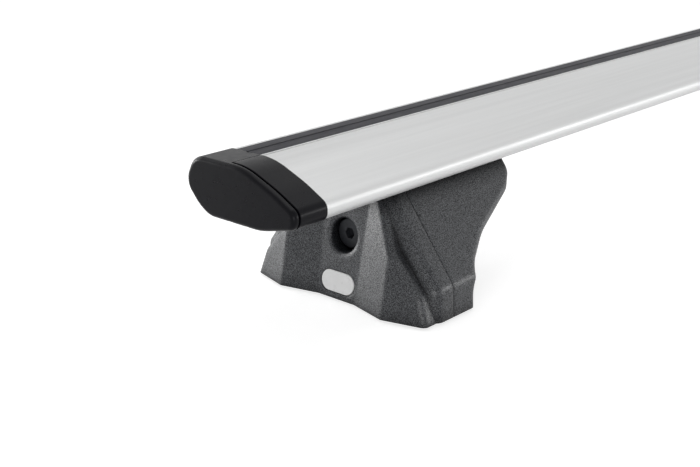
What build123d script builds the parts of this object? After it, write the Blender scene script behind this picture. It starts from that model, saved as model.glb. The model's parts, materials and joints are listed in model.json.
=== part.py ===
from build123d import *
import os
from math import sqrt

# Roof rack crossbar: a wing-shaped aluminium bar on two feet that bolt to the roof.
# Millimetres. +X runs along the bar, +Z up, origin on the roof plane under the bar's middle.

# Overall sizes
BAR_LENGTH = 1180.0
BAR_CHORD = 77.0
BAR_HEIGHT = 30.0
FOOT_HEIGHT = 62.5
PAD_PROUD = 1.5
FOOT_SETBACK = 93.0

# Bar section
BAR_WALL = 2.0
NOSE_SHARE = 0.52
TOP_ROUND = 45.0
BACK_ROUND = 80.0
NOSE_ROUND = 5.0
KEEL_ROUND = 40.0
HEEL_ROUND = 14.0
BILGE_ROUND = 25.0
TAIL_LOW_ROUND = 9.0
TAIL_HIGH_ROUND = 10.0
CREST_ROUND = 10.0
SLOT_OFFSET = 0.21 * BAR_CHORD
STRIP_WIDTH = 17.5
STRIP_RECESS = 1.8
SLOT_MOUTH = 11.0
SLOT_LIP = 2.0
SLOT_WIDTH = 22.0
SLOT_DEPTH = 8.0
GROOVE_WIDTH = 1.2
GROOVE_DEPTH = 1.0
GROOVE_LAND = 1.2
CHANNEL_MOUTH = 11.0
CHANNEL_LIP = 2.5
CHANNEL_WIDTH = 22.0
CHANNEL_DEPTH = 8.0

# Rubber strip
STRIP_SIDE_GAP = 0.1
STRIP_CROWN = 0.4
STRIP_LEG_WALL = 1.4
STRIP_LEG_DEPTH = 3.2
STRIP_RIB_WIDTH = 1.0
STRIP_RIB_HEIGHT = 0.35

# End cap
LID_THICKNESS = 3.6
LID_EDGE = 2.4
LID_BACK_EDGE = 0.5
LID_WALL = 1.8
LID_GAP = 1.2
CAP_PROUD = 0.4
COLLAR_LENGTH = 18.8
COLLAR_WALL = 2.2
PLUG_LENGTH = 24.0
PLUG_CLEARANCE = 0.3
PLUG_WALL = 2.0
TONGUE_WIDTH = 20.0
TONGUE_THICKNESS = 2.4
TONGUE_CLEARANCE = 0.3
HINGE_DEPTH = 1.3
HINGE_HEIGHT = 1.4
HINGE_PIN_RADIUS = 0.6
HINGE_PIN_LENGTH = 24.0
HINGE_EAR_RADIUS = 1.2
HINGE_EAR_WIDTH = 3.0
HINGE_EAR_SPACING = 12.0
HINGE_ARM_LENGTH = 8.0
HINGE_NOTCH_CLEARANCE = 0.3
RUNNING_CLEARANCE = 0.05

# Foot shells, seen along the bar: half widths, and heights above the shells' lower edge
SHELL_WALL = 2.5
SHELL_JOINT_GAP = 0.3
BAR_TO_SHELL = 0.4
BASE_HALF_WIDTH = 65.2
BAND_TOP_HALF_WIDTH = 64.4
BAND_TOP_HEIGHT = 0.288 * FOOT_HEIGHT
NECK_HALF_WIDTH = 31.0
NECK_RISE = 6.0
BAND_ROUND = 7.0
SHIELD_NECK_HALF_WIDTH = 26.0
SHIELD_WAIST_HALF_WIDTH = 39.8
SHIELD_WAIST_HEIGHT = 0.584 * FOOT_HEIGHT
SHIELD_HIP_HALF_WIDTH = 58.5
SHIELD_HIP_HEIGHT = 0.248 * FOOT_HEIGHT
SHIELD_BASE_HALF_WIDTH = 63.6
SHIELD_HIP_ROUND = 10.0
SHIELD_WAIST_ROUND = 12.0
SHIELD_EDGE_ROUND = 4.0

# Foot shells, lengths ahead of the shell joint
SIDE_FRONT = 15.5
SIDE_FRONT_LEAN = 3.0
SIDE_EDGE_ROUND = 6.5
VALLEY_FRONT = 23.6
VALLEY_HALF_WIDTH = 13.5
VALLEY_TOP_FRONT = 12.0
VALLEY_TOP_HALF_WIDTH = 17.0
RIDGE_FRONT = 29.7
RIDGE_HALF_WIDTH = 38.0
RIDGE_ROUND = 3.0
FLANK_SLOPE = 0.27

# Foot shells, lengths behind the shell joint
TAIL_BASE = 20.5
TAIL_END = 94.0
TAIL_HEEL_HEIGHT = 0.264 * FOOT_HEIGHT
TAIL_HEEL_ROUND = 0.32 * FOOT_HEIGHT
TAIL_KNEE_SHARE = 0.33
TAIL_KNEE_DEPTH = 0.496 * FOOT_HEIGHT
TAIL_KNEE_ROUND = 0.96 * FOOT_HEIGHT
TAIL_SHOULDER_SHARE = 0.86
TAIL_SHOULDER_DEPTH = 0.264 * FOOT_HEIGHT
TAIL_SHOULDER_ROUND = 0.256 * FOOT_HEIGHT
TAIL_TIP_DEPTH = 0.128 * FOOT_HEIGHT
TAIL_TIP_ROUND = 0.144 * FOOT_HEIGHT
TAIL_EDGE_ROUND = 0.064 * FOOT_HEIGHT

# Cup round the clamp screw, and badge
SCREW_DEPTH = 26.4
CUP_RIM_RADIUS = 9.8
CUP_FLOOR_RADIUS = 9.3
CUP_WALL = 2.0
CUP_RIM_ROUND = 2.0
CUP_TO_CORE = 0.3
BADGE_LENGTH = 24.2
BADGE_WIDTH = 12.0
BADGE_THICKNESS = 1.2
BADGE_PROUD = 0.3
BADGE_EDGE = 0.25
BADGE_CLEARANCE = 0.35
BADGE_HEIGHT = 9.7

# Clamp screw, its washer, ring and wedge nut
SCREW_RADIUS = 4.0
SCREW_HEAD_RADIUS = 8.7
SCREW_HEAD_THICKNESS = 5.0
SCREW_HEAD_FRONT = 11.7
SCREW_HEAD_EDGE = 0.6
SCREW_TIP_EDGE = 0.8
SCREW_LENGTH = 33.0
HEX_ACROSS_FLATS = 6.0
HEX_DEPTH = 4.0
WASHER_RADIUS = 8.4
WASHER_THICKNESS = 1.5
RING_THICKNESS = 1.0
RING_RADIUS = 6.5
RING_GROOVE_DEPTH = 0.6
RING_GAP = 0.2
WEDGE_LENGTH = 16.0
WEDGE_HALF_WIDTH = 7.5
WEDGE_ABOVE = 6.5
WEDGE_BELOW = 6.0
WEDGE_SLOPE = 0.2
WEDGE_TRAVEL = 6.0
WEDGE_START = 1.8
SLIDE_CLEARANCE = 0.1

# Stirrup clamp that grips the bar
CLAMP_THICKNESS = 10.0
CLAMP_START = 3.5
CLAMP_SIDE_WALL = 4.7
CLAMP_SILL = 6.0
CLAMP_BRIDGE = 9.0
CLAMP_WINDOW_ABOVE = 3.0
CLAMP_HEAD_HALF_WIDTH = 10.0
CLAMP_HEAD_THICKNESS = 5.0
CLAMP_CORNER = 2.0
CLAMP_CLEARANCE = 0.3

# Cast core of the foot
SADDLE_HALF_WIDTH = 20.0
SADDLE_THICKNESS = 5.0
SADDLE_TO_TIP = 9.0
CORE_FRONT_WALL = 4.7
CORE_SIDE_WALL = 4.7
CORE_WEB_HALF_WIDTH = 4.0
CORE_TO_SHELL = 0.5
BLOCK_LENGTH = 27.0
FLANGE_THICKNESS = 6.5
FLANGE_HALF_WIDTH = 50.0
FLANGE_FRONT = 14.0
FLANGE_BACK = 12.0
GUSSET_HALF_THICKNESS = 4.0
GUSSET_REACH = 10.5
GUSSET_HEIGHT = 36.0
ROOF_BOLT_SPACING = 76.0
ROOF_BOLT_HOLE_RADIUS = 4.25

# Rubber pad under the foot
PAD_THICKNESS = 5.5
PAD_MARGIN = 2.0
PAD_HOLE_RADIUS = 4.75
PAD_CORNER = 5.0

# Screws that hold the two shells together
SHELL_SCREW_SPREAD = 50.0
SHELL_SCREW_HEIGHT = 18.5
SHELL_SCREW_RADIUS = 1.7
SHELL_SCREW_HEAD_RADIUS = 3.4
SHELL_SCREW_HEAD_THICKNESS = 2.4
SHELL_SCREW_REACH = 12.0
SHELL_SCREW_SEAT = 6.0
SHELL_SCREW_CROSS = 1.1
SHELL_SCREW_CROSS_DEPTH = 1.2
SHELL_SCREW_CLEARANCE = 0.2
SHELL_BOSS_WALL = 1.2

# Places that follow from the sizes above
BAR_BOTTOM = FOOT_HEIGHT + PAD_PROUD
GAP_PLANE = -BAR_LENGTH / 2 + LID_THICKNESS
COLLAR_FRONT = GAP_PLANE + LID_GAP
METAL_END = COLLAR_FRONT + COLLAR_LENGTH
FOOT_X = GAP_PLANE + FOOT_SETBACK
NOSE_Y = -NOSE_SHARE * BAR_CHORD
TAIL_Y = NOSE_Y + BAR_CHORD
FAR_REACH = 200.0
SCREW_SEAT = -SCREW_HEAD_FRONT + SCREW_HEAD_THICKNESS
CORE_FRONT = SCREW_SEAT + WASHER_THICKNESS
TUNNEL_FRONT = CORE_FRONT + CORE_FRONT_WALL
RING_FRONT = TUNNEL_FRONT + RING_GAP
WEDGE_FRONT = RING_FRONT + RING_THICKNESS + WEDGE_START
CLAMP_FRONT = WEDGE_FRONT + CLAMP_START
CLAMP_BACK = CLAMP_FRONT + CLAMP_THICKNESS
CLAMP_WINDOW_HALF_WIDTH = WEDGE_HALF_WIDTH + CLAMP_CLEARANCE
CLAMP_HALF_WIDTH = CLAMP_WINDOW_HALF_WIDTH + CLAMP_SIDE_WALL
CLAMP_SLOT_HALF_WIDTH = CLAMP_HALF_WIDTH + CLAMP_CLEARANCE
BLOCK_HALF_WIDTH = CLAMP_SLOT_HALF_WIDTH + CORE_SIDE_WALL
FLANGE_BOTTOM = -BAR_BOTTOM + PAD_THICKNESS
SHELL_BOSS_RADIUS = SHELL_SCREW_HEAD_RADIUS + 2 * SHELL_SCREW_CLEARANCE + SHELL_BOSS_WALL


def box_between(low, high):
    """Box from its lowest to its highest corner."""
    size = [high[i] - low[i] for i in range(3)]
    middle = [(high[i] + low[i]) / 2 for i in range(3)]
    return Pos(*middle) * Box(*size)


def slab_yz(points, start, length):
    """Prism along +X from an outline of (y, z) points."""
    outline = Plane.YZ.offset(start) * Polyline(*points, close=True)
    return extrude(make_face(outline), amount=length, dir=(1, 0, 0))


def slab_xz(points, half_width):
    """Prism along Y, centred on the bar's middle plane, from an outline of (x, z) points."""
    outline = Polyline(*[(x, 0, z) for x, z in points], close=True)
    return extrude(make_face(outline), amount=half_width, dir=(0, 1, 0), both=True)


def rod_x(radius, start, length, y=0.0, z=0.0):
    """Round bar along +X."""
    return Pos(start + length / 2, y, z) * Rot(0, 90, 0) * Cylinder(radius, length)


def rod_y(radius, length, x=0.0, z=0.0):
    """Round bar along Y, centred on the bar's middle plane."""
    return Pos(x, 0, z) * Rot(90, 0, 0) * Cylinder(radius, length)


def rod_z(radius, low, height, x=0.0, y=0.0):
    """Round bar along +Z."""
    return Pos(x, y, low + height / 2) * Cylinder(radius, height)


# Bar section, drawn in the (y, z) plane with z from the bar's underside


def section_outline():
    """Wing outline: thin front edge (-Y), flat top round the slot, blunt rear edge (+Y)."""
    half = BAR_CHORD / 2
    middle = (NOSE_Y + TAIL_Y) / 2
    corners = [
        (-0.064, 1.0, TOP_ROUND),
        (-0.635, 0.71, BACK_ROUND),
        (-1.0, 0.46, NOSE_ROUND),
        (-1.0, 0.192, NOSE_ROUND),
        (-0.366, 0.0, KEEL_ROUND),
        (0.60, 0.0, HEEL_ROUND),
        (0.80, 0.155, BILGE_ROUND),
        (1.0, 0.44, TAIL_LOW_ROUND),
        (1.0, 0.65, TAIL_HIGH_ROUND),
        (0.858, 1.0, CREST_ROUND),
    ]
    points = [(middle + share * half, rise * BAR_HEIGHT) for share, rise, _ in corners]
    rounds = [radius for _, _, radius in corners]
    return make_face(FilletPolyline(*points, radius=rounds, close=True))


def rect_2d(y_low, y_high, z_low, z_high):
    """Rectangle in the section plane."""
    middle = Pos((y_low + y_high) / 2, (z_low + z_high) / 2)
    return middle * Rectangle(y_high - y_low, z_high - z_low)


def slot_cut():
    """Top slot: recess for the strip, mouth between the lips, and chamber for T-bolts."""
    top = BAR_HEIGHT
    lip_top = top - STRIP_RECESS
    chamber_top = lip_top - SLOT_LIP
    recess = rect_2d(
        SLOT_OFFSET - STRIP_WIDTH / 2, SLOT_OFFSET + STRIP_WIDTH / 2, lip_top, top + 1
    )
    mouth = rect_2d(
        SLOT_OFFSET - SLOT_MOUTH / 2, SLOT_OFFSET + SLOT_MOUTH / 2, chamber_top - 1, top
    )
    chamber = rect_2d(
        SLOT_OFFSET - SLOT_WIDTH / 2,
        SLOT_OFFSET + SLOT_WIDTH / 2,
        chamber_top - SLOT_DEPTH,
        chamber_top,
    )
    return recess + mouth + chamber


def groove_cut():
    """Fine groove beside the strip, beyond a narrow land."""
    far = SLOT_OFFSET - STRIP_WIDTH / 2 - GROOVE_LAND
    return rect_2d(far - GROOVE_WIDTH, far, BAR_HEIGHT - GROOVE_DEPTH, BAR_HEIGHT + 1)


def channel_cut():
    """Lower channel that the feet slide and clamp in."""
    mouth = rect_2d(-CHANNEL_MOUTH / 2, CHANNEL_MOUTH / 2, -1, CHANNEL_LIP + 1)
    chamber = rect_2d(
        -CHANNEL_WIDTH / 2, CHANNEL_WIDTH / 2, CHANNEL_LIP, CHANNEL_LIP + CHANNEL_DEPTH
    )
    return mouth + chamber


def slot_floor():
    """Height of the underside of the wall below the top slot."""
    return BAR_HEIGHT - STRIP_RECESS - SLOT_LIP - SLOT_DEPTH - BAR_WALL


def hollow_cut():
    """Closed hollows of the extrusion, between its outer wall, the slots and the webs."""
    inside = offset(section_outline(), amount=-BAR_WALL)
    slot_low = SLOT_OFFSET - SLOT_WIDTH / 2 - BAR_WALL
    slot_high = SLOT_OFFSET + SLOT_WIDTH / 2 + BAR_WALL
    channel_side = CHANNEL_WIDTH / 2 + BAR_WALL
    channel_top = CHANNEL_LIP + CHANNEL_DEPTH + BAR_WALL
    slot_walls = rect_2d(slot_low, slot_high, slot_floor(), BAR_HEIGHT)
    land_wall = rect_2d(slot_low - GROOVE_WIDTH, slot_low, BAR_HEIGHT - 2 * BAR_WALL, BAR_HEIGHT)
    channel_walls = rect_2d(-channel_side, channel_side, 0, channel_top)
    near_web = rect_2d(-channel_side, -channel_side + BAR_WALL, 0, BAR_HEIGHT)
    middle_web = rect_2d(slot_low, slot_low + BAR_WALL, 0, BAR_HEIGHT)
    far_web = rect_2d(channel_side - BAR_WALL, channel_side, 0, slot_floor() + 1)
    return inside - slot_walls - land_wall - channel_walls - near_web - middle_web - far_web


def along_bar(section, start, length):
    """Prism along +X from a section, at the bar's height."""
    placed = Plane.YZ.offset(start) * Pos(0, BAR_BOTTOM) * section
    return extrude(placed, amount=length, dir=(1, 0, 0))


def make_bar_profile():
    """Hollow extrusion between the two collars."""
    cuts = slot_cut() + groove_cut() + channel_cut()
    section = section_outline() - hollow_cut() - cuts
    return along_bar(section, METAL_END, -2 * METAL_END)


def make_slot_strip():
    """Rubber strip: crowned cover over the lips, two legs in the mouth, one fine rib."""
    lip_top = BAR_HEIGHT - STRIP_RECESS
    half = STRIP_WIDTH / 2 - STRIP_SIDE_GAP
    leg_outer = SLOT_MOUTH / 2 - STRIP_SIDE_GAP
    cover = make_face(
        Polyline(
            (SLOT_OFFSET - half, BAR_HEIGHT),
            (SLOT_OFFSET - half, lip_top),
            (SLOT_OFFSET + half, lip_top),
            (SLOT_OFFSET + half, BAR_HEIGHT),
        )
        + ThreePointArc(
            (SLOT_OFFSET + half, BAR_HEIGHT),
            (SLOT_OFFSET, BAR_HEIGHT + STRIP_CROWN),
            (SLOT_OFFSET - half, BAR_HEIGHT),
        )
    )
    rib = rect_2d(
        SLOT_OFFSET - STRIP_RIB_WIDTH / 2,
        SLOT_OFFSET + STRIP_RIB_WIDTH / 2,
        lip_top + 1,
        BAR_HEIGHT + STRIP_CROWN + STRIP_RIB_HEIGHT,
    )
    section = cover + rib
    for side in (-1, 1):
        outer = SLOT_OFFSET + side * leg_outer
        inner = outer - side * STRIP_LEG_WALL
        section += rect_2d(
            min(outer, inner), max(outer, inner), lip_top - STRIP_LEG_DEPTH, lip_top
        )
    return along_bar(section, METAL_END, -2 * METAL_END)


# End cap: collar, lid and hinge pin at the bar's -X end


def cap_outline():
    """Outline of the end cap, a little proud of the bar."""
    return offset(section_outline(), amount=CAP_PROUD)


def make_end_cap_collar():
    """Ring on the bar's end with plugs in two hollows and the T-slot carried through it."""
    ring = cap_outline()
    pocket = offset(cap_outline(), amount=-COLLAR_WALL)
    slot_low = SLOT_OFFSET - SLOT_WIDTH / 2 - COLLAR_WALL
    slot_high = SLOT_OFFSET + SLOT_WIDTH / 2 + COLLAR_WALL
    slot_walls = rect_2d(slot_low, slot_high, slot_floor(), BAR_HEIGHT + 1)
    passage = slot_cut() + rect_2d(
        SLOT_OFFSET - TONGUE_WIDTH / 2 - TONGUE_CLEARANCE,
        SLOT_OFFSET + TONGUE_WIDTH / 2 + TONGUE_CLEARANCE,
        BAR_HEIGHT + CAP_PROUD - TONGUE_THICKNESS - TONGUE_CLEARANCE,
        BAR_HEIGHT + 2,
    )
    hollow = pocket - slot_walls
    collar = along_bar(ring - passage, COLLAR_FRONT, COLLAR_LENGTH)
    collar -= along_bar(hollow, COLLAR_FRONT - 1, COLLAR_LENGTH + 1 - COLLAR_WALL)
    channel_side = CHANNEL_WIDTH / 2 + BAR_WALL
    plug_outer = offset(section_outline(), amount=-BAR_WALL - PLUG_CLEARANCE)
    plug_outer = plug_outer & rect_2d(
        -BAR_CHORD, -channel_side - PLUG_CLEARANCE, 0, BAR_HEIGHT
    )
    plug_inner = offset(plug_outer, amount=-PLUG_WALL)
    plug = plug_outer - plug_inner
    collar += along_bar(plug, METAL_END - 1, PLUG_LENGTH + 1)
    collar += hinge_ears()
    collar -= rod_y(
        HINGE_PIN_RADIUS + RUNNING_CLEARANCE, HINGE_PIN_LENGTH, hinge_x(), hinge_z()
    )
    return collar


def hinge_x():
    """Place of the lid's hinge along the bar, inside the lid's thickness."""
    return GAP_PLANE - HINGE_DEPTH


def hinge_z():
    """Height of the lid's hinge."""
    return BAR_BOTTOM + HINGE_HEIGHT


def hinge_ears():
    """Two ears that carry the hinge pin in front of the collar."""
    ears = Part()
    for side in (-1, 1):
        middle = side * HINGE_EAR_SPACING / 2
        barrel = Pos(0, middle, 0) * rod_y(
            HINGE_EAR_RADIUS, HINGE_EAR_WIDTH, hinge_x(), hinge_z()
        )
        arm = box_between(
            (hinge_x(), middle - HINGE_EAR_WIDTH / 2, hinge_z() - HINGE_EAR_RADIUS),
            (
                COLLAR_FRONT + HINGE_ARM_LENGTH,
                middle + HINGE_EAR_WIDTH / 2,
                hinge_z() + HINGE_EAR_RADIUS,
            ),
        )
        ears += barrel + arm
    return ears


def make_end_cap_lid():
    """Lid with rounded face, hollow back, hinge notches and the tongue over the slot."""
    front = GAP_PLANE - LID_THICKNESS
    lid = along_bar(cap_outline(), front, LID_THICKNESS)
    lid = fillet(lid.faces().sort_by(Axis.X)[0].edges(), LID_EDGE)
    lid = fillet(lid.faces().sort_by(Axis.X)[-1].edges(), LID_BACK_EDGE)
    pocket = offset(cap_outline(), amount=-LID_WALL) & rect_2d(
        -BAR_CHORD, BAR_CHORD, 2.5 * HINGE_HEIGHT, BAR_HEIGHT - LID_WALL - TONGUE_THICKNESS
    )
    lid -= along_bar(pocket, front + LID_WALL, LID_THICKNESS)
    top = BAR_HEIGHT + CAP_PROUD
    tongue = rect_2d(
        SLOT_OFFSET - TONGUE_WIDTH / 2,
        SLOT_OFFSET + TONGUE_WIDTH / 2,
        top - TONGUE_THICKNESS,
        top,
    )
    tongue_length = METAL_END - TONGUE_CLEARANCE - GAP_PLANE
    lid += along_bar(tongue, GAP_PLANE - LID_THICKNESS / 4, tongue_length + LID_THICKNESS / 4)
    reach = HINGE_EAR_RADIUS + HINGE_NOTCH_CLEARANCE
    for side in (-1, 1):
        middle = side * HINGE_EAR_SPACING / 2
        half = HINGE_EAR_WIDTH / 2 + HINGE_NOTCH_CLEARANCE
        lid -= box_between(
            (hinge_x() - reach, middle - half, BAR_BOTTOM - 2),
            (GAP_PLANE + 1, middle + half, hinge_z() + reach),
        )
    lid -= rod_y(
        HINGE_PIN_RADIUS + RUNNING_CLEARANCE,
        HINGE_PIN_LENGTH + 2 * RUNNING_CLEARANCE,
        hinge_x(),
        hinge_z(),
    )
    return lid


def make_lid_hinge_pin():
    """Pin through the ears of the collar and the bottom of the lid."""
    return rod_y(HINGE_PIN_RADIUS, HINGE_PIN_LENGTH, hinge_x(), hinge_z())


# Foot, drawn with x from the shell joint, z from the bar's underside, at the -X end


def mirrored_outline(points):
    """Face from (y, z) points on one side, repeated on the other side."""
    other = [(-y, z) for y, z in reversed(points)]
    return make_face(Polyline(*points, *other, close=True))


def corners_at(face, height):
    """Corners of a section at one height."""
    return face.vertices().filter_by_position(Axis.Y, height - 0.1, height + 0.1)


def wall_outline(bottom):
    """Outline of the side walls seen along the bar, down to a lower limit."""
    knee = -FOOT_HEIGHT + BAND_TOP_HEIGHT
    slope = (BAND_TOP_HALF_WIDTH - NECK_HALF_WIDTH) / -knee
    points = [
        (BASE_HALF_WIDTH, bottom),
        (BAND_TOP_HALF_WIDTH, knee),
        (NECK_HALF_WIDTH - slope * NECK_RISE, NECK_RISE),
    ]
    face = mirrored_outline(points)
    return fillet(corners_at(face, knee), BAND_ROUND)


def shield_outline(bottom):
    """Outline of the raised front panel seen along the bar, down to a lower limit."""
    waist = -FOOT_HEIGHT + SHIELD_WAIST_HEIGHT
    hip = -FOOT_HEIGHT + SHIELD_HIP_HEIGHT
    slope = (SHIELD_WAIST_HALF_WIDTH - SHIELD_NECK_HALF_WIDTH) / -waist
    points = [
        (SHIELD_BASE_HALF_WIDTH, bottom),
        (SHIELD_HIP_HALF_WIDTH, hip),
        (SHIELD_WAIST_HALF_WIDTH, waist),
        (SHIELD_NECK_HALF_WIDTH - slope * NECK_RISE, NECK_RISE),
    ]
    face = mirrored_outline(points)
    face = fillet(corners_at(face, hip), SHIELD_HIP_ROUND)
    return fillet(corners_at(face, waist), SHIELD_WAIST_ROUND)


def side_profile(bottom):
    """Outline of the shells seen across the bar: steep front, tail that sweeps out below it."""
    reach = TAIL_END - TAIL_BASE
    sweep = FilletPolyline(
        (TAIL_BASE, bottom),
        (TAIL_BASE, -FOOT_HEIGHT + TAIL_HEEL_HEIGHT),
        (TAIL_BASE + TAIL_KNEE_SHARE * reach, -TAIL_KNEE_DEPTH),
        (TAIL_BASE + TAIL_SHOULDER_SHARE * reach, -TAIL_SHOULDER_DEPTH),
        (TAIL_END, -TAIL_TIP_DEPTH),
        (TAIL_END, NECK_RISE),
        radius=[TAIL_HEEL_ROUND, TAIL_KNEE_ROUND, TAIL_SHOULDER_ROUND, TAIL_TIP_ROUND],
    )
    front = Polyline(
        (TAIL_END, NECK_RISE),
        (-SIDE_FRONT + SIDE_FRONT_LEAN, NECK_RISE),
        (-SIDE_FRONT, -FOOT_HEIGHT + SHIELD_WAIST_HEIGHT),
        (-SIDE_FRONT, bottom),
        (TAIL_BASE, bottom),
    )
    return make_face(sweep + front)


def prism_y(section):
    """Prism across the whole foot from a section drawn in (x, z)."""
    return extrude(Plane.XZ * section, amount=FAR_REACH, both=True)


def prism_x(section):
    """Prism along the whole foot from a section drawn in (y, z)."""
    return extrude(Plane.YZ * section, amount=FAR_REACH, both=True)


def valley_lean():
    """Slope of the front valley, as length back for each length up."""
    return (VALLEY_FRONT - VALLEY_TOP_FRONT) / (FOOT_HEIGHT + NECK_RISE)


def front_blank(shift, bottom):
    """Solid behind the front panel's planes: a valley between two ridges, leaning back."""
    slope = (RIDGE_FRONT - VALLEY_FRONT) / (RIDGE_HALF_WIDTH - VALLEY_HALF_WIDTH)
    crease = VALLEY_FRONT - slope * VALLEY_HALF_WIDTH
    back = crease + slope * VALLEY_TOP_HALF_WIDTH - VALLEY_TOP_FRONT
    lean = back / (FOOT_HEIGHT + NECK_RISE)
    below = FOOT_HEIGHT + bottom
    side = BASE_HALF_WIDTH + SIDE_FRONT
    flank = -RIDGE_FRONT + FLANK_SLOPE * (side - RIDGE_HALF_WIDTH)
    start = shift + lean * below
    outline = Polyline(
        (start - crease, 0),
        (start - RIDGE_FRONT, RIDGE_HALF_WIDTH),
        (start + flank, side),
        (RIDGE_FRONT, side),
        (RIDGE_FRONT, -side),
        (start + flank, -side),
        (start - RIDGE_FRONT, -RIDGE_HALF_WIDTH),
        close=True,
    )
    rise = NECK_RISE - bottom
    flanks = extrude(
        make_face(Pos(0, 0, bottom) * outline),
        amount=rise * sqrt(1 + lean * lean),
        dir=(lean, 0, 1),
    )
    valley_half = (VALLEY_HALF_WIDTH + 6 * RIDGE_HALF_WIDTH) / 7
    valley = slab_xz(
        [
            (shift - VALLEY_FRONT + valley_lean() * below, bottom),
            (shift - VALLEY_TOP_FRONT, NECK_RISE),
            (SHELL_WALL, NECK_RISE),
            (SHELL_WALL, bottom),
        ],
        valley_half,
    )
    room = box_between(
        (-FAR_REACH, -FAR_REACH, bottom), (SHELL_WALL, FAR_REACH, NECK_RISE)
    )
    return (flanks + valley) & room


def foot_form():
    """Outer form of both shells, with its rounded edges."""
    bottom = -FOOT_HEIGHT
    walls = prism_x(wall_outline(bottom)) & prism_y(side_profile(bottom))
    panel = prism_x(shield_outline(bottom)) & front_blank(0, bottom)
    return round_walls(walls.solids()[0]) + round_panel(panel.solids()[0])


def foot_space():
    """Space inside the shells' wall, open below and towards the bar."""
    bottom = -FOOT_HEIGHT - 4 * SHELL_WALL
    walls = prism_x(offset(wall_outline(bottom), amount=-SHELL_WALL))
    walls = walls & prism_y(offset(side_profile(bottom), amount=-SHELL_WALL))
    walls = round_front(walls.solids()[0], SIDE_EDGE_ROUND - SHELL_WALL)
    panel = prism_x(offset(shield_outline(bottom), amount=-SHELL_WALL))
    return walls + (panel & front_blank(SHELL_WALL, bottom))


def round_walls(body):
    """Round the rear edges and the front corners of the side walls."""
    tail = []
    for edge in body.edges():
        middle = edge.center()
        size = edge.bounding_box().size
        swept = middle.X > TAIL_BASE - 1 and size.X > 0.01 and size.Z > 0.5
        upright = abs(middle.X - TAIL_BASE) < 0.01 and size.Z > 1
        if abs(middle.Y) > NECK_HALF_WIDTH / 2 and (swept or upright):
            tail.append(edge)
    body = body.fillet(TAIL_EDGE_ROUND, tail)
    return round_front(body, SIDE_EDGE_ROUND)


def round_front(body, radius):
    """Round the front corners of the side walls."""
    start = body.bounding_box().min.X
    front = [
        edge
        for edge in body.edges()
        if edge.center().X < start + SIDE_FRONT_LEAN and edge.bounding_box().size.Z > 1
    ]
    return body.fillet(radius, front)


def round_panel(panel):
    """Round the two ridges of the front panel, then its whole rim."""
    ridges = [
        edge
        for edge in panel.edges()
        if abs(abs(edge.center().Y) - RIDGE_HALF_WIDTH) < 0.05
        and edge.bounding_box().size.Z > SHIELD_HIP_HEIGHT / 2
    ]
    panel = panel.fillet(RIDGE_ROUND, ridges)
    outline = shield_outline(-FOOT_HEIGHT).faces()[0].outer_wire()
    rim = []
    for edge in panel.edges():
        middle = edge.position_at(0.5)
        ahead = middle.X < -VALLEY_TOP_FRONT / 2
        rising = edge.bounding_box().size.Z > 0.05
        if ahead and rising and outline.distance_to(Vertex(middle.Y, middle.Z, 0)) < 0.01:
            rim.append(edge)
    return panel.fillet(SHIELD_EDGE_ROUND, rim)


def bar_clearance():
    """Space that the bar takes above the foot."""
    return prism_x(offset(section_outline(), amount=BAR_TO_SHELL))


def half_space(side):
    """Everything on one side of the shell joint; side is -1 ahead of it and 1 behind it."""
    near = side * SHELL_JOINT_GAP / 2
    far = side * FAR_REACH
    return box_between(
        (min(near, far), -FAR_REACH, -FAR_REACH), (max(near, far), FAR_REACH, FAR_REACH)
    )


def cup_cone(wall):
    """Cone of the cup round the clamp screw, with a wall round it."""
    back = CORE_FRONT - CUP_TO_CORE
    face = -VALLEY_FRONT + valley_lean() * (FOOT_HEIGHT - SCREW_DEPTH)
    slope = (CUP_RIM_RADIUS - CUP_FLOOR_RADIUS) / (back - face)
    length = back + RIDGE_FRONT
    low = CUP_FLOOR_RADIUS + wall
    cone = Cone(low, low + slope * length, length)
    return Pos(back - length / 2, 0, -SCREW_DEPTH) * Rot(0, -90, 0) * cone


def badge_plane():
    """Plane of the badge, on the front valley."""
    lean = valley_lean()
    place = (-VALLEY_FRONT + lean * BADGE_HEIGHT, 0, -FOOT_HEIGHT + BADGE_HEIGHT)
    return Plane(origin=place, x_dir=(0, -1, 0), z_dir=(-1, 0, lean))


def both_sides(rod):
    """A rod on the middle plane, repeated at the two shell screws."""
    height = -FOOT_HEIGHT + SHELL_SCREW_HEIGHT
    pair = Pos(0, -SHELL_SCREW_SPREAD, height) * rod
    return pair + Pos(0, SHELL_SCREW_SPREAD, height) * rod


def make_outer_cover(form, space):
    """Front shell: cup round the clamp screw, recess for the badge, two screw bosses."""
    outside = form & half_space(-1)
    boss = rod_x(SHELL_BOSS_RADIUS, -FAR_REACH, FAR_REACH)
    ribs = outside & (cup_cone(CUP_WALL) + both_sides(boss))
    cover = (outside - space) + ribs - cup_cone(0)
    ovals = [edge for edge in cover.edges().filter_by(GeomType.ELLIPSE) if edge.is_closed]
    rim = ShapeList(ovals).sort_by(Axis.X)[0]
    cover = cover.fillet(CUP_RIM_ROUND, [rim])
    recess = SlotOverall(
        BADGE_LENGTH + 2 * BADGE_CLEARANCE, BADGE_WIDTH + 2 * BADGE_CLEARANCE
    )
    depth = BADGE_THICKNESS - BADGE_PROUD
    cover -= extrude(badge_plane() * recess, amount=depth, both=True)
    pilot = rod_x(SHELL_SCREW_RADIUS, -SHELL_SCREW_REACH, SHELL_SCREW_REACH)
    return cover - both_sides(pilot)


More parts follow.
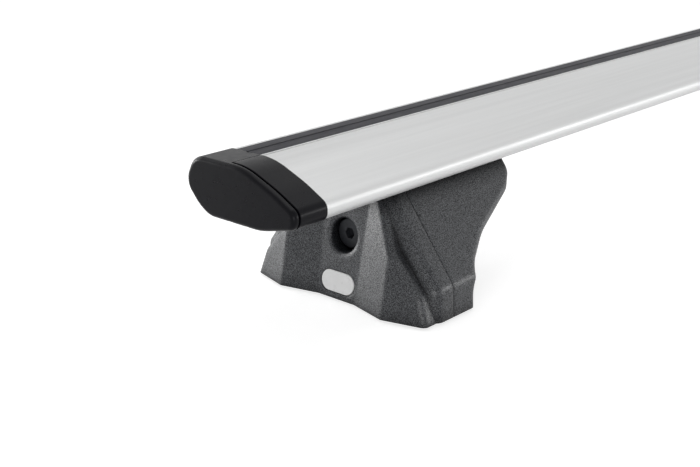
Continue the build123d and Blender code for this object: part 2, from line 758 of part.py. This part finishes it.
def make_inner_cover(form, space):
    """Rear shell: two bosses with wells for the screws that hold the shells together."""
    outside = form & half_space(1)
    boss = rod_x(SHELL_BOSS_RADIUS, 0, FAR_REACH)
    near = box_between(
        (0, -FAR_REACH, -FAR_REACH), (TAIL_BASE + SHELL_BOSS_RADIUS, FAR_REACH, FAR_REACH)
    )
    cover = (outside - space) + (outside & both_sides(boss) & near)
    hole = rod_x(SHELL_SCREW_RADIUS + SHELL_SCREW_CLEARANCE, 0, SHELL_SCREW_SEAT)
    well_radius = SHELL_SCREW_HEAD_RADIUS + 2 * SHELL_SCREW_CLEARANCE
    well = rod_x(well_radius, SHELL_SCREW_SEAT, TAIL_BASE + SHELL_BOSS_RADIUS)
    return cover - both_sides(hole) - both_sides(well)


def make_cover_screws():
    """Two screws through the rear shell into the bosses of the front shell."""
    shank = rod_x(
        SHELL_SCREW_RADIUS, -SHELL_SCREW_REACH, SHELL_SCREW_REACH + SHELL_SCREW_SEAT
    )
    head = rod_x(SHELL_SCREW_HEAD_RADIUS, SHELL_SCREW_SEAT, SHELL_SCREW_HEAD_THICKNESS)
    top = SHELL_SCREW_SEAT + SHELL_SCREW_HEAD_THICKNESS
    long_arm = SHELL_SCREW_HEAD_RADIUS * 0.6
    cross = Part()
    for size in ((long_arm, SHELL_SCREW_CROSS / 2), (SHELL_SCREW_CROSS / 2, long_arm)):
        cross += box_between(
            (top - SHELL_SCREW_CROSS_DEPTH, -size[0], -size[1]), (top + 1, *size)
        )
    return both_sides(shank + head - cross)


def make_badge_plate():
    """Bare oval plate in its recess on the front valley."""
    floor = badge_plane().offset(BADGE_PROUD - BADGE_THICKNESS)
    plate = extrude(floor * SlotOverall(BADGE_LENGTH, BADGE_WIDTH), amount=BADGE_THICKNESS)
    front = plate.faces().sort_by(Axis.X)[0]
    return chamfer(front.edges(), BADGE_EDGE)


def make_clamp_screw():
    """Clamp screw: wide round head with a hexagon socket, shank with a ring groove."""
    head = rod_x(
        SCREW_HEAD_RADIUS, -SCREW_HEAD_FRONT, SCREW_HEAD_THICKNESS, z=-SCREW_DEPTH
    )
    head = fillet(head.faces().sort_by(Axis.X)[0].edges(), SCREW_HEAD_EDGE)
    shank = rod_x(SCREW_RADIUS, SCREW_SEAT, SCREW_LENGTH, z=-SCREW_DEPTH)
    shank = chamfer(shank.faces().sort_by(Axis.X)[-1].edges(), SCREW_TIP_EDGE)
    groove = rod_x(SCREW_RADIUS + 1, RING_FRONT, RING_THICKNESS, z=-SCREW_DEPTH)
    groove -= rod_x(
        SCREW_RADIUS - RING_GROOVE_DEPTH, RING_FRONT, RING_THICKNESS, z=-SCREW_DEPTH
    )
    hexagon = RegularPolygon(HEX_ACROSS_FLATS / 2, 6, major_radius=False)
    socket = Plane.YZ.offset(-SCREW_HEAD_FRONT) * Pos(0, -SCREW_DEPTH) * hexagon
    return head + shank - groove - extrude(socket, amount=HEX_DEPTH, dir=(1, 0, 0))


def make_screw_washer():
    """Washer between the screw's head and the core."""
    washer = rod_x(WASHER_RADIUS, SCREW_SEAT, WASHER_THICKNESS, z=-SCREW_DEPTH)
    hole = SCREW_RADIUS + 2 * RUNNING_CLEARANCE
    return washer - rod_x(hole, SCREW_SEAT, WASHER_THICKNESS, z=-SCREW_DEPTH)


def make_retaining_ring():
    """Open ring in the screw's groove, behind the core's front wall."""
    ring = rod_x(RING_RADIUS, RING_FRONT, RING_THICKNESS, z=-SCREW_DEPTH)
    inner = SCREW_RADIUS - RING_GROOVE_DEPTH
    ring -= rod_x(inner, RING_FRONT, RING_THICKNESS, z=-SCREW_DEPTH)
    return ring - box_between(
        (RING_FRONT - 1, -0.8 * inner, -SCREW_DEPTH - 2 * RING_RADIUS),
        (RING_FRONT + RING_THICKNESS + 1, 0.8 * inner, -SCREW_DEPTH),
    )


def wedge_bottom(x):
    """Height of the wedge nut's sloping underside when it is clamped."""
    return -SCREW_DEPTH - WEDGE_BELOW - WEDGE_SLOPE * (x - WEDGE_FRONT)


def make_wedge_nut():
    """Wedge nut: flat top under the core, sloping underside on the clamp's sill."""
    back = WEDGE_FRONT + WEDGE_LENGTH
    top = -SCREW_DEPTH + WEDGE_ABOVE
    wedge = slab_xz(
        [
            (WEDGE_FRONT, wedge_bottom(WEDGE_FRONT)),
            (back, wedge_bottom(back)),
            (back, top),
            (WEDGE_FRONT, top),
        ],
        WEDGE_HALF_WIDTH,
    )
    bore = rod_x(
        SCREW_RADIUS + RUNNING_CLEARANCE, WEDGE_FRONT, WEDGE_LENGTH, z=-SCREW_DEPTH
    )
    return wedge - bore


def clamp_bottom():
    """Lowest height of the clamp when it is clamped."""
    return wedge_bottom(CLAMP_BACK) - SLIDE_CLEARANCE - CLAMP_SILL


def make_channel_clamp():
    """Stirrup round the wedge nut, with a T-head on the lips of the bar's lower channel."""
    window_top = -SCREW_DEPTH + WEDGE_ABOVE + CLAMP_WINDOW_ABOVE
    shoulder = window_top + CLAMP_BRIDGE
    neck = CHANNEL_MOUTH / 2 - CLAMP_CLEARANCE
    head_top = CHANNEL_LIP + CLAMP_HEAD_THICKNESS
    outline = mirrored_outline(
        [
            (CLAMP_HALF_WIDTH, clamp_bottom()),
            (CLAMP_HALF_WIDTH, shoulder),
            (neck, shoulder),
            (neck, CHANNEL_LIP),
            (CLAMP_HEAD_HALF_WIDTH, CHANNEL_LIP),
            (CLAMP_HEAD_HALF_WIDTH, head_top),
        ]
    )
    outline = fillet(corners_at(outline, clamp_bottom()), CLAMP_CORNER)
    outline = fillet(corners_at(outline, head_top), CLAMP_CORNER / 2)
    plate = extrude(
        Plane.YZ.offset(CLAMP_FRONT) * outline, amount=CLAMP_THICKNESS, dir=(1, 0, 0)
    )
    window = slab_xz(
        [
            (CLAMP_FRONT - 1, wedge_bottom(CLAMP_FRONT - 1) - SLIDE_CLEARANCE),
            (CLAMP_BACK + 1, wedge_bottom(CLAMP_BACK + 1) - SLIDE_CLEARANCE),
            (CLAMP_BACK + 1, window_top),
            (CLAMP_FRONT - 1, window_top),
        ],
        CLAMP_WINDOW_HALF_WIDTH,
    )
    return plate - window


def make_foot_core():
    """Cast foot: saddle under the bar, block round the wedge, flange on the roof."""
    room = offset(side_profile(-BAR_BOTTOM), amount=-SHELL_WALL - CORE_TO_SHELL)
    saddle = box_between(
        (CORE_FRONT, -SADDLE_HALF_WIDTH, -SADDLE_THICKNESS),
        (TAIL_END - SADDLE_TO_TIP, SADDLE_HALF_WIDTH, 0),
    )
    block = box_between(
        (CORE_FRONT, -BLOCK_HALF_WIDTH, clamp_bottom() - CLAMP_CLEARANCE),
        (CORE_FRONT + BLOCK_LENGTH, BLOCK_HALF_WIDTH, 0),
    )
    web = box_between(
        (CORE_FRONT, -CORE_WEB_HALF_WIDTH, -SCREW_DEPTH - WEDGE_BELOW),
        (TAIL_END - SADDLE_TO_TIP, CORE_WEB_HALF_WIDTH, 0),
    )
    upper = (saddle + block + web) & prism_y(room)
    column = box_between(
        (CORE_FRONT, -BLOCK_HALF_WIDTH, FLANGE_BOTTOM), (FLANGE_BACK, BLOCK_HALF_WIDTH, -SCREW_DEPTH)
    )
    flange = box_between(
        (-FLANGE_FRONT, -FLANGE_HALF_WIDTH, FLANGE_BOTTOM),
        (FLANGE_BACK, FLANGE_HALF_WIDTH, FLANGE_BOTTOM + FLANGE_THICKNESS),
    )
    flange = fillet(flange.edges().filter_by(Axis.Z), PAD_CORNER - PAD_MARGIN)
    gusset_top = FLANGE_BOTTOM + FLANGE_THICKNESS + GUSSET_HEIGHT
    gussets = slab_yz(
        [
            (-BLOCK_HALF_WIDTH - GUSSET_REACH, FLANGE_BOTTOM),
            (BLOCK_HALF_WIDTH + GUSSET_REACH, FLANGE_BOTTOM),
            (BLOCK_HALF_WIDTH + GUSSET_REACH, FLANGE_BOTTOM + FLANGE_THICKNESS + 1),
            (BLOCK_HALF_WIDTH - 1, gusset_top),
            (-BLOCK_HALF_WIDTH + 1, gusset_top),
            (-BLOCK_HALF_WIDTH - GUSSET_REACH, FLANGE_BOTTOM + FLANGE_THICKNESS + 1),
        ],
        -GUSSET_HALF_THICKNESS,
        2 * GUSSET_HALF_THICKNESS,
    )
    tunnel_half = WEDGE_HALF_WIDTH + SLIDE_CLEARANCE
    wedge_back = WEDGE_FRONT + WEDGE_LENGTH
    tunnel = box_between(
        (TUNNEL_FRONT, -tunnel_half, wedge_bottom(wedge_back) - CLAMP_CLEARANCE),
        (
            wedge_back + WEDGE_TRAVEL + SCREW_LENGTH,
            tunnel_half,
            -SCREW_DEPTH + WEDGE_ABOVE + SLIDE_CLEARANCE,
        ),
    )
    slot = box_between(
        (CLAMP_FRONT - CLAMP_CLEARANCE, -CLAMP_SLOT_HALF_WIDTH, -BAR_BOTTOM),
        (CLAMP_BACK + CLAMP_CLEARANCE, CLAMP_SLOT_HALF_WIDTH, 1),
    )
    bore = rod_x(
        SCREW_RADIUS + RUNNING_CLEARANCE, CORE_FRONT - 1, CORE_FRONT_WALL + 2, z=-SCREW_DEPTH
    )
    core = upper + column + flange + gussets - tunnel - slot - bore
    for side in (-1, 1):
        core -= rod_z(
            ROOF_BOLT_HOLE_RADIUS,
            FLANGE_BOTTOM - 1,
            FLANGE_THICKNESS + 2,
            y=side * ROOF_BOLT_SPACING / 2,
        )
    return core


def make_base_pad():
    """Rubber pad between the flange and the roof."""
    pad = box_between(
        (-FLANGE_FRONT - PAD_MARGIN, -FLANGE_HALF_WIDTH - PAD_MARGIN, -BAR_BOTTOM),
        (FLANGE_BACK + PAD_MARGIN, FLANGE_HALF_WIDTH + PAD_MARGIN, FLANGE_BOTTOM),
    )
    pad = fillet(pad.edges().filter_by(Axis.Z), PAD_CORNER)
    for side in (-1, 1):
        pad -= rod_z(
            PAD_HOLE_RADIUS,
            -BAR_BOTTOM - 1,
            PAD_THICKNESS + 2,
            y=side * ROOF_BOLT_SPACING / 2,
        )
    return pad


def foot_pieces():
    """All pieces of the foot at the bar's -X end, in their places."""
    form = foot_form() - bar_clearance()
    space = foot_space()
    pieces = {
        "outer_cover": make_outer_cover(form, space),
        "inner_cover": make_inner_cover(form, space),
        "foot_core": make_foot_core(),
        "base_pad": make_base_pad(),
        "clamp_screw": make_clamp_screw(),
        "screw_washer": make_screw_washer(),
        "retaining_ring": make_retaining_ring(),
        "wedge_nut": make_wedge_nut(),
        "channel_clamp": make_channel_clamp(),
        "badge_plate": make_badge_plate(),
        "cover_screws": make_cover_screws(),
    }
    place = Pos(FOOT_X, 0, BAR_BOTTOM)
    return {name: place * piece for name, piece in pieces.items()}


def main():
    os.makedirs("parts", exist_ok=True)
    export_step(make_bar_profile(), "parts/bar_profile.step")
    export_step(make_slot_strip(), "parts/top_slot_strip.step")
    paired = foot_pieces()
    paired["end_cap_collar"] = make_end_cap_collar()
    paired["end_cap_lid"] = make_end_cap_lid()
    paired["lid_hinge_pin"] = make_lid_hinge_pin()
    for name, piece in paired.items():
        export_step(piece, f"parts/{name}_left.step")
        export_step(mirror(piece, about=Plane.YZ), f"parts/{name}_right.step")


main()
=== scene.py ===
import json

import bpy
from mathutils import Matrix, Vector

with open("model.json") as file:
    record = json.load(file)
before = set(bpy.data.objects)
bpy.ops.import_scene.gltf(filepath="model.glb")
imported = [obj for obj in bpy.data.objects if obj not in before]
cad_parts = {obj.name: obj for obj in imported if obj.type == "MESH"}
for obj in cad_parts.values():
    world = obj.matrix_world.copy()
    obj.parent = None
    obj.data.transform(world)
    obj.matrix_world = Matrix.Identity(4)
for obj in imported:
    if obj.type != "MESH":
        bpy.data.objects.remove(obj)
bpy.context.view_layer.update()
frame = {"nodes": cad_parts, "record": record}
nodes = frame["nodes"]

# Camera
CAMERA_PLACE = (-0.9546, -0.4042, 0.2472)
CAMERA_RIGHT = (0.66863, -0.74360, 0.0)
CAMERA_DOWN = (-0.24373, -0.21915, -0.94476)
CAMERA_LENS = 58.63
SENSOR_WIDTH = 36
CLIP_NEAR = 0.01
CLIP_FAR = 50

# World and floor
WHITE = (1, 1, 1, 1)
WORLD_LIGHT = 0.22
WORLD_SHOWN = 1.0
FLOOR_SIZE = 14
FLOOR_DROP = 0.0002
FLOOR_COLOR = (0.55, 0.55, 0.55, 1)
FLOOR_ROUGHNESS = 0.8
FLOOR_GLOW = 0.75

# Area lamps: name, place, target, size in metres, watts
LAMPS = (
    ("key_low", (-0.97, 1.10, 0.14), (-0.5, 0, 0.04), (0.5, 0.25), 7),
    ("key", (-0.70, 1.20, 0.60), (-0.5, 0, 0.04), (0.8, 0.6), 4.5),
    ("right_strip", (0.42, -0.90, 0.16), (-0.5, 0, 0.03), (0.8, 0.20), 3.5),
    ("top", (-0.2, 0.1, 1.6), (-0.2, 0, 0.08), (1.6, 0.6), 5.5),
    ("front", (-1.2, -0.8, 0.12), (-0.5, 0, 0.04), (0.3, 0.3), 2.8),
)

# Parts of a texture's range that are spread over a material's own range
NOISE_BAND = (0.3, 0.7)
GRAIN_BAND = (0.40, 0.62)
GRAIN_SHEEN_BAND = (0.4, 0.62)
# Band of the ambient occlusion value that is spread into painted shade in recesses
PAINTED_SHADE_BAND = (0.4, 0.95)

EDGE_SAMPLES = 6
# Painted shade in recesses: occlusion samples, reach in metres, and the darkest multiple of
# colour and sheen
PAINTED_SHADE_SAMPLES = 10
PAINTED_SHADE_REACH = 0.014
PAINTED_SHADE_LEVEL = 0.15
GRAIN_PER_METRE = 1900
DRAWN_LINES = (3, 2600, 2600)
DRAWN_SHEEN = (8, 500, 500)
DRAWN_TONE = (5, 300, 300)


# Materials


class Shader:
    """A Principled material with a few procedural layers."""

    def __init__(self, name, color, roughness, metallic=0.0, specular=0.5):
        self.material = bpy.data.materials.new(name)
        self.material.use_nodes = True
        self.tree = self.material.node_tree
        self.surface = self.tree.nodes["Principled BSDF"]
        self.surface.inputs["Base Color"].default_value = (*color, 1)
        self.surface.inputs["Roughness"].default_value = roughness
        self.surface.inputs["Metallic"].default_value = metallic
        self.surface.inputs["Specular IOR Level"].default_value = specular
        self.color = color
        self.roughness = roughness
        self.normal = None

    def link(self, source, target):
        self.tree.links.new(source, target)

    def place(self, per_metre):
        """Object coordinates, scaled by one number or by one for each axis."""
        scale = per_metre if isinstance(per_metre, tuple) else (per_metre,) * 3
        coords = self.tree.nodes.new("ShaderNodeTexCoord")
        mapping = self.tree.nodes.new("ShaderNodeMapping")
        mapping.inputs["Scale"].default_value = scale
        self.link(coords.outputs["Object"], mapping.inputs["Vector"])
        return mapping.outputs["Vector"]

    def noise(self, per_metre, detail=3.0, rough=0.55):
        texture = self.tree.nodes.new("ShaderNodeTexNoise")
        texture.inputs["Scale"].default_value = 1.0
        texture.inputs["Detail"].default_value = detail
        texture.inputs["Roughness"].default_value = rough
        self.link(self.place(per_metre), texture.inputs["Vector"])
        return texture.outputs["Fac"]

    def cells(self, per_metre):
        texture = self.tree.nodes.new("ShaderNodeTexVoronoi")
        texture.inputs["Scale"].default_value = 1.0
        self.link(self.place(per_metre), texture.inputs["Vector"])
        return texture.outputs["Distance"]

    def remap(self, value, low, high, band=NOISE_BAND):
        """Spread a band of the value over low to high."""
        node = self.tree.nodes.new("ShaderNodeMapRange")
        node.inputs["From Min"].default_value = band[0]
        node.inputs["From Max"].default_value = band[1]
        node.inputs["To Min"].default_value = low
        node.inputs["To Max"].default_value = high
        self.link(value, node.inputs["Value"])
        return node.outputs["Result"]

    def vary_color(self, value, low, high, band=NOISE_BAND):
        """Base colour between two multiples of the material's colour."""
        ramp = self.tree.nodes.new("ShaderNodeValToRGB")
        for stop, position, share in zip(ramp.color_ramp.elements, band, (low, high)):
            stop.position = position
            stop.color = (*[min(1, c * share) for c in self.color], 1)
        self.link(value, ramp.inputs["Fac"])
        self.link(ramp.outputs["Color"], self.surface.inputs["Base Color"])

    def vary_roughness(self, value, less, more):
        """Roughness from a little less to a little more than the material's."""
        level = self.remap(value, self.roughness - less, self.roughness + more)
        self.link(level, self.surface.inputs["Roughness"])

    def vary_sheen(self, value, low, high, band):
        level = self.remap(value, low, high, band)
        self.link(level, self.surface.inputs["Specular IOR Level"])

    def paint_recess_shade(self, distance, low):
        """Painted shade: less colour and sheen deep in grooves and cups, scaled by an ambient
        occlusion node.
        """
        occlusion_node = self.tree.nodes.new("ShaderNodeAmbientOcclusion")
        occlusion_node.samples = PAINTED_SHADE_SAMPLES
        occlusion_node.inputs["Distance"].default_value = distance
        level = self.remap(occlusion_node.outputs["AO"], low, 1.0, PAINTED_SHADE_BAND)
        # The painted shade multiplies both the base colour and the specular level
        for name in ("Base Color", "Specular IOR Level"):
            socket = self.surface.inputs[name]
            product = self.tree.nodes.new("ShaderNodeVectorMath")
            product.operation = "MULTIPLY"
            self.link(socket.links[0].from_socket, product.inputs[0])
            self.link(level, product.inputs[1])
            self.link(product.outputs["Vector"], socket)

    def set_normal(self, node):
        """Put the node after the layers that already shape the normal."""
        if self.normal:
            self.link(self.normal, node.inputs["Normal"])
        self.normal = node.outputs["Normal"]
        self.link(self.normal, self.surface.inputs["Normal"])

    def bump(self, height, strength, distance):
        node = self.tree.nodes.new("ShaderNodeBump")
        node.inputs["Strength"].default_value = strength
        node.inputs["Distance"].default_value = distance
        self.link(height, node.inputs["Height"])
        self.set_normal(node)

    def soften_edges(self, radius):
        """Shade hard edges as if they were rounded."""
        node = self.tree.nodes.new("ShaderNodeBevel")
        node.samples = EDGE_SAMPLES
        node.inputs["Radius"].default_value = radius
        self.set_normal(node)


def aluminium():
    """Satin anodised extrusion with fine lengthwise drawing lines."""
    s = Shader("bar_aluminium", (0.74, 0.745, 0.745), 0.48, metallic=0.45, specular=0.3)
    s.soften_edges(0.0006)
    s.bump(s.noise(DRAWN_LINES, 2.0), 0.10, 0.00005)
    s.vary_roughness(s.noise(DRAWN_SHEEN), 0.05, 0.05)
    s.vary_color(s.noise(DRAWN_TONE), 0.97, 1.03)
    return s.material


def rubber(name, color, grain):
    """Soft rubber, its grain longer along the bar."""
    s = Shader(name, color, 0.62, specular=0.15)
    s.bump(s.noise((grain / 4, grain, grain), 4.0), 0.25, 0.0001)
    s.vary_color(s.noise((40, 160, 160)), 0.88, 1.12)
    s.vary_roughness(s.noise((70, 300, 300)), 0.06, 0.06)
    return s.material


def satin_plastic(name, color, roughness, edge):
    """Smooth moulded plastic."""
    s = Shader(name, color, roughness, specular=0.10)
    s.soften_edges(edge)
    s.bump(s.noise(500, 2.0), 0.04, 0.0001)
    s.vary_color(s.noise(300), 0.92, 1.10)
    s.vary_roughness(s.noise(220), 0.04, 0.05)
    return s.material


def grained_plastic(name, color, roughness, edge):
    """Moulded plastic with a fine etched grain, and painted shade darkening its grooves and
    cup.
    """
    s = Shader(name, color, roughness)
    s.soften_edges(edge)
    grain = s.noise(GRAIN_PER_METRE, 2.0, 0.6)
    s.bump(grain, 0.2, 0.0003)
    s.vary_sheen(grain, 0.18, 0.85, GRAIN_SHEEN_BAND)
    s.vary_color(grain, 0.35, 2.0, GRAIN_BAND)
    s.vary_roughness(s.noise(220), 0.05, 0.06)
    # Painted shade: colour and sheen darkened where ambient occlusion finds grooves, the cup
    # and the space under the bar
    s.paint_recess_shade(PAINTED_SHADE_REACH, PAINTED_SHADE_LEVEL)
    return s.material


def steel(name, color, roughness):
    """Plated steel with a slightly uneven tone."""
    s = Shader(name, color, roughness, metallic=0.9)
    s.soften_edges(0.0003)
    s.bump(s.noise(900), 0.12, 0.00006)
    s.vary_color(s.noise(120), 0.86, 1.1)
    s.vary_roughness(s.noise(260), 0.06, 0.08)
    return s.material


def black_steel():
    """Blackened steel with a pitted finish."""
    s = Shader("black_steel", (0.022, 0.024, 0.028), 0.38, metallic=0.1, specular=0.2)
    s.soften_edges(0.0005)
    s.bump(s.cells(1500), 0.12, 0.00005)
    s.vary_color(s.noise(400), 0.85, 1.15)
    s.vary_roughness(s.noise(300), 0.04, 0.07)
    return s.material


def casting():
    """Rough cast metal."""
    s = Shader("cast_core", (0.16, 0.16, 0.17), 0.6, metallic=0.3)
    s.bump(s.noise(500, 5.0), 0.5, 0.0002)
    s.vary_color(s.noise(90), 0.8, 1.15)
    s.vary_roughness(s.noise(200), 0.08, 0.10)
    return s.material


def badge_face():
    """Pale smooth plate."""
    s = Shader("badge_white", (0.84, 0.84, 0.84), 0.3)
    s.bump(s.noise(250, 2.0), 0.06, 0.0001)
    s.vary_color(s.noise(160), 0.97, 1.02)
    s.vary_roughness(s.noise(300), 0.04, 0.04)
    return s.material


MATERIALS = {
    "bar_aluminium": aluminium(),
    "strip_rubber": rubber("strip_rubber", (0.055, 0.055, 0.062), 1500),
    "cap_plastic": satin_plastic("cap_plastic", (0.0036, 0.0036, 0.0056), 0.30, 0.0008),
    "cover_plastic": grained_plastic("cover_plastic", (0.030, 0.032, 0.036), 0.36, 0.0032),
    "cast_core": casting(),
    "pad_rubber": rubber("pad_rubber", (0.03, 0.03, 0.03), 900),
    "black_steel": black_steel(),
    "plated_steel": steel("plated_steel", (0.60, 0.60, 0.58), 0.34),
    "badge_white": badge_face(),
}

for entry in frame["record"]["subparts"]:
    mesh = nodes[entry["node"]].data
    mesh.materials.clear()
    mesh.materials.append(MATERIALS[entry["material_slot"]])


# Floor, light and camera


def light_path_mix(tree, plain, shown):
    """Shader that shows one face to the camera and to reflections, and lights with another."""
    path = tree.nodes.new("ShaderNodeLightPath")
    total = path.outputs["Is Camera Ray"]
    for name in ("Is Glossy Ray", "Is Transmission Ray"):
        either = tree.nodes.new("ShaderNodeMath")
        either.operation = "MAXIMUM"
        tree.links.new(total, either.inputs[0])
        tree.links.new(path.outputs[name], either.inputs[1])
        total = either.outputs["Value"]
    mix = tree.nodes.new("ShaderNodeMixShader")
    tree.links.new(total, mix.inputs["Fac"])
    tree.links.new(plain, mix.inputs[1])
    tree.links.new(shown, mix.inputs[2])
    return mix.outputs["Shader"]


def make_world():
    world = bpy.data.worlds.new("studio")
    bpy.context.scene.world = world
    world.use_nodes = True
    tree = world.node_tree
    plain = tree.nodes["Background"]
    plain.inputs["Color"].default_value = WHITE
    plain.inputs["Strength"].default_value = WORLD_LIGHT
    white = tree.nodes.new("ShaderNodeBackground")
    white.inputs["Color"].default_value = WHITE
    white.inputs["Strength"].default_value = WORLD_SHOWN
    mixed = light_path_mix(tree, plain.outputs["Background"], white.outputs["Background"])
    tree.links.new(mixed, tree.nodes["World Output"].inputs["Surface"])


def make_floor():
    bpy.ops.mesh.primitive_plane_add(size=FLOOR_SIZE, location=(0, 0, -FLOOR_DROP))
    floor = bpy.context.object
    floor.name = "studio_floor"
    material = bpy.data.materials.new("floor_pale")
    material.use_nodes = True
    tree = material.node_tree
    surface = tree.nodes["Principled BSDF"]
    surface.inputs["Base Color"].default_value = FLOOR_COLOR
    surface.inputs["Roughness"].default_value = FLOOR_ROUGHNESS
    glow = tree.nodes.new("ShaderNodeEmission")
    glow.inputs["Color"].default_value = WHITE
    glow.inputs["Strength"].default_value = FLOOR_GLOW
    bright = tree.nodes.new("ShaderNodeAddShader")
    tree.links.new(surface.outputs["BSDF"], bright.inputs[0])
    tree.links.new(glow.outputs["Emission"], bright.inputs[1])
    mixed = light_path_mix(tree, surface.outputs["BSDF"], bright.outputs["Shader"])
    tree.links.new(mixed, tree.nodes["Material Output"].inputs["Surface"])
    floor.data.materials.append(material)


def area_light(name, place, target, size, watts):
    data = bpy.data.lights.new(name, "AREA")
    data.shape = "RECTANGLE"
    data.size, data.size_y = size
    data.energy = watts
    light = bpy.data.objects.new(name, data)
    light.location = place
    aim = Vector(target) - Vector(place)
    light.rotation_euler = aim.to_track_quat("-Z", "Y").to_euler()
    bpy.context.collection.objects.link(light)


def make_camera():
    data = bpy.data.cameras.new("photo_camera")
    data.lens = CAMERA_LENS
    data.sensor_width = SENSOR_WIDTH
    data.clip_start = CLIP_NEAR
    data.clip_end = CLIP_FAR
    camera = bpy.data.objects.new("photo_camera", data)
    right = Vector(CAMERA_RIGHT)
    up = -Vector(CAMERA_DOWN)
    turn = Matrix((right, up, right.cross(up))).transposed()
    camera.matrix_world = Matrix.Translation(CAMERA_PLACE) @ turn.to_4x4()
    bpy.context.collection.objects.link(camera)
    bpy.context.scene.camera = camera


make_world()
make_floor()
for lamp in LAMPS:
    area_light(*lamp)
make_camera()
bpy.context.scene.view_settings.view_transform = "Standard"
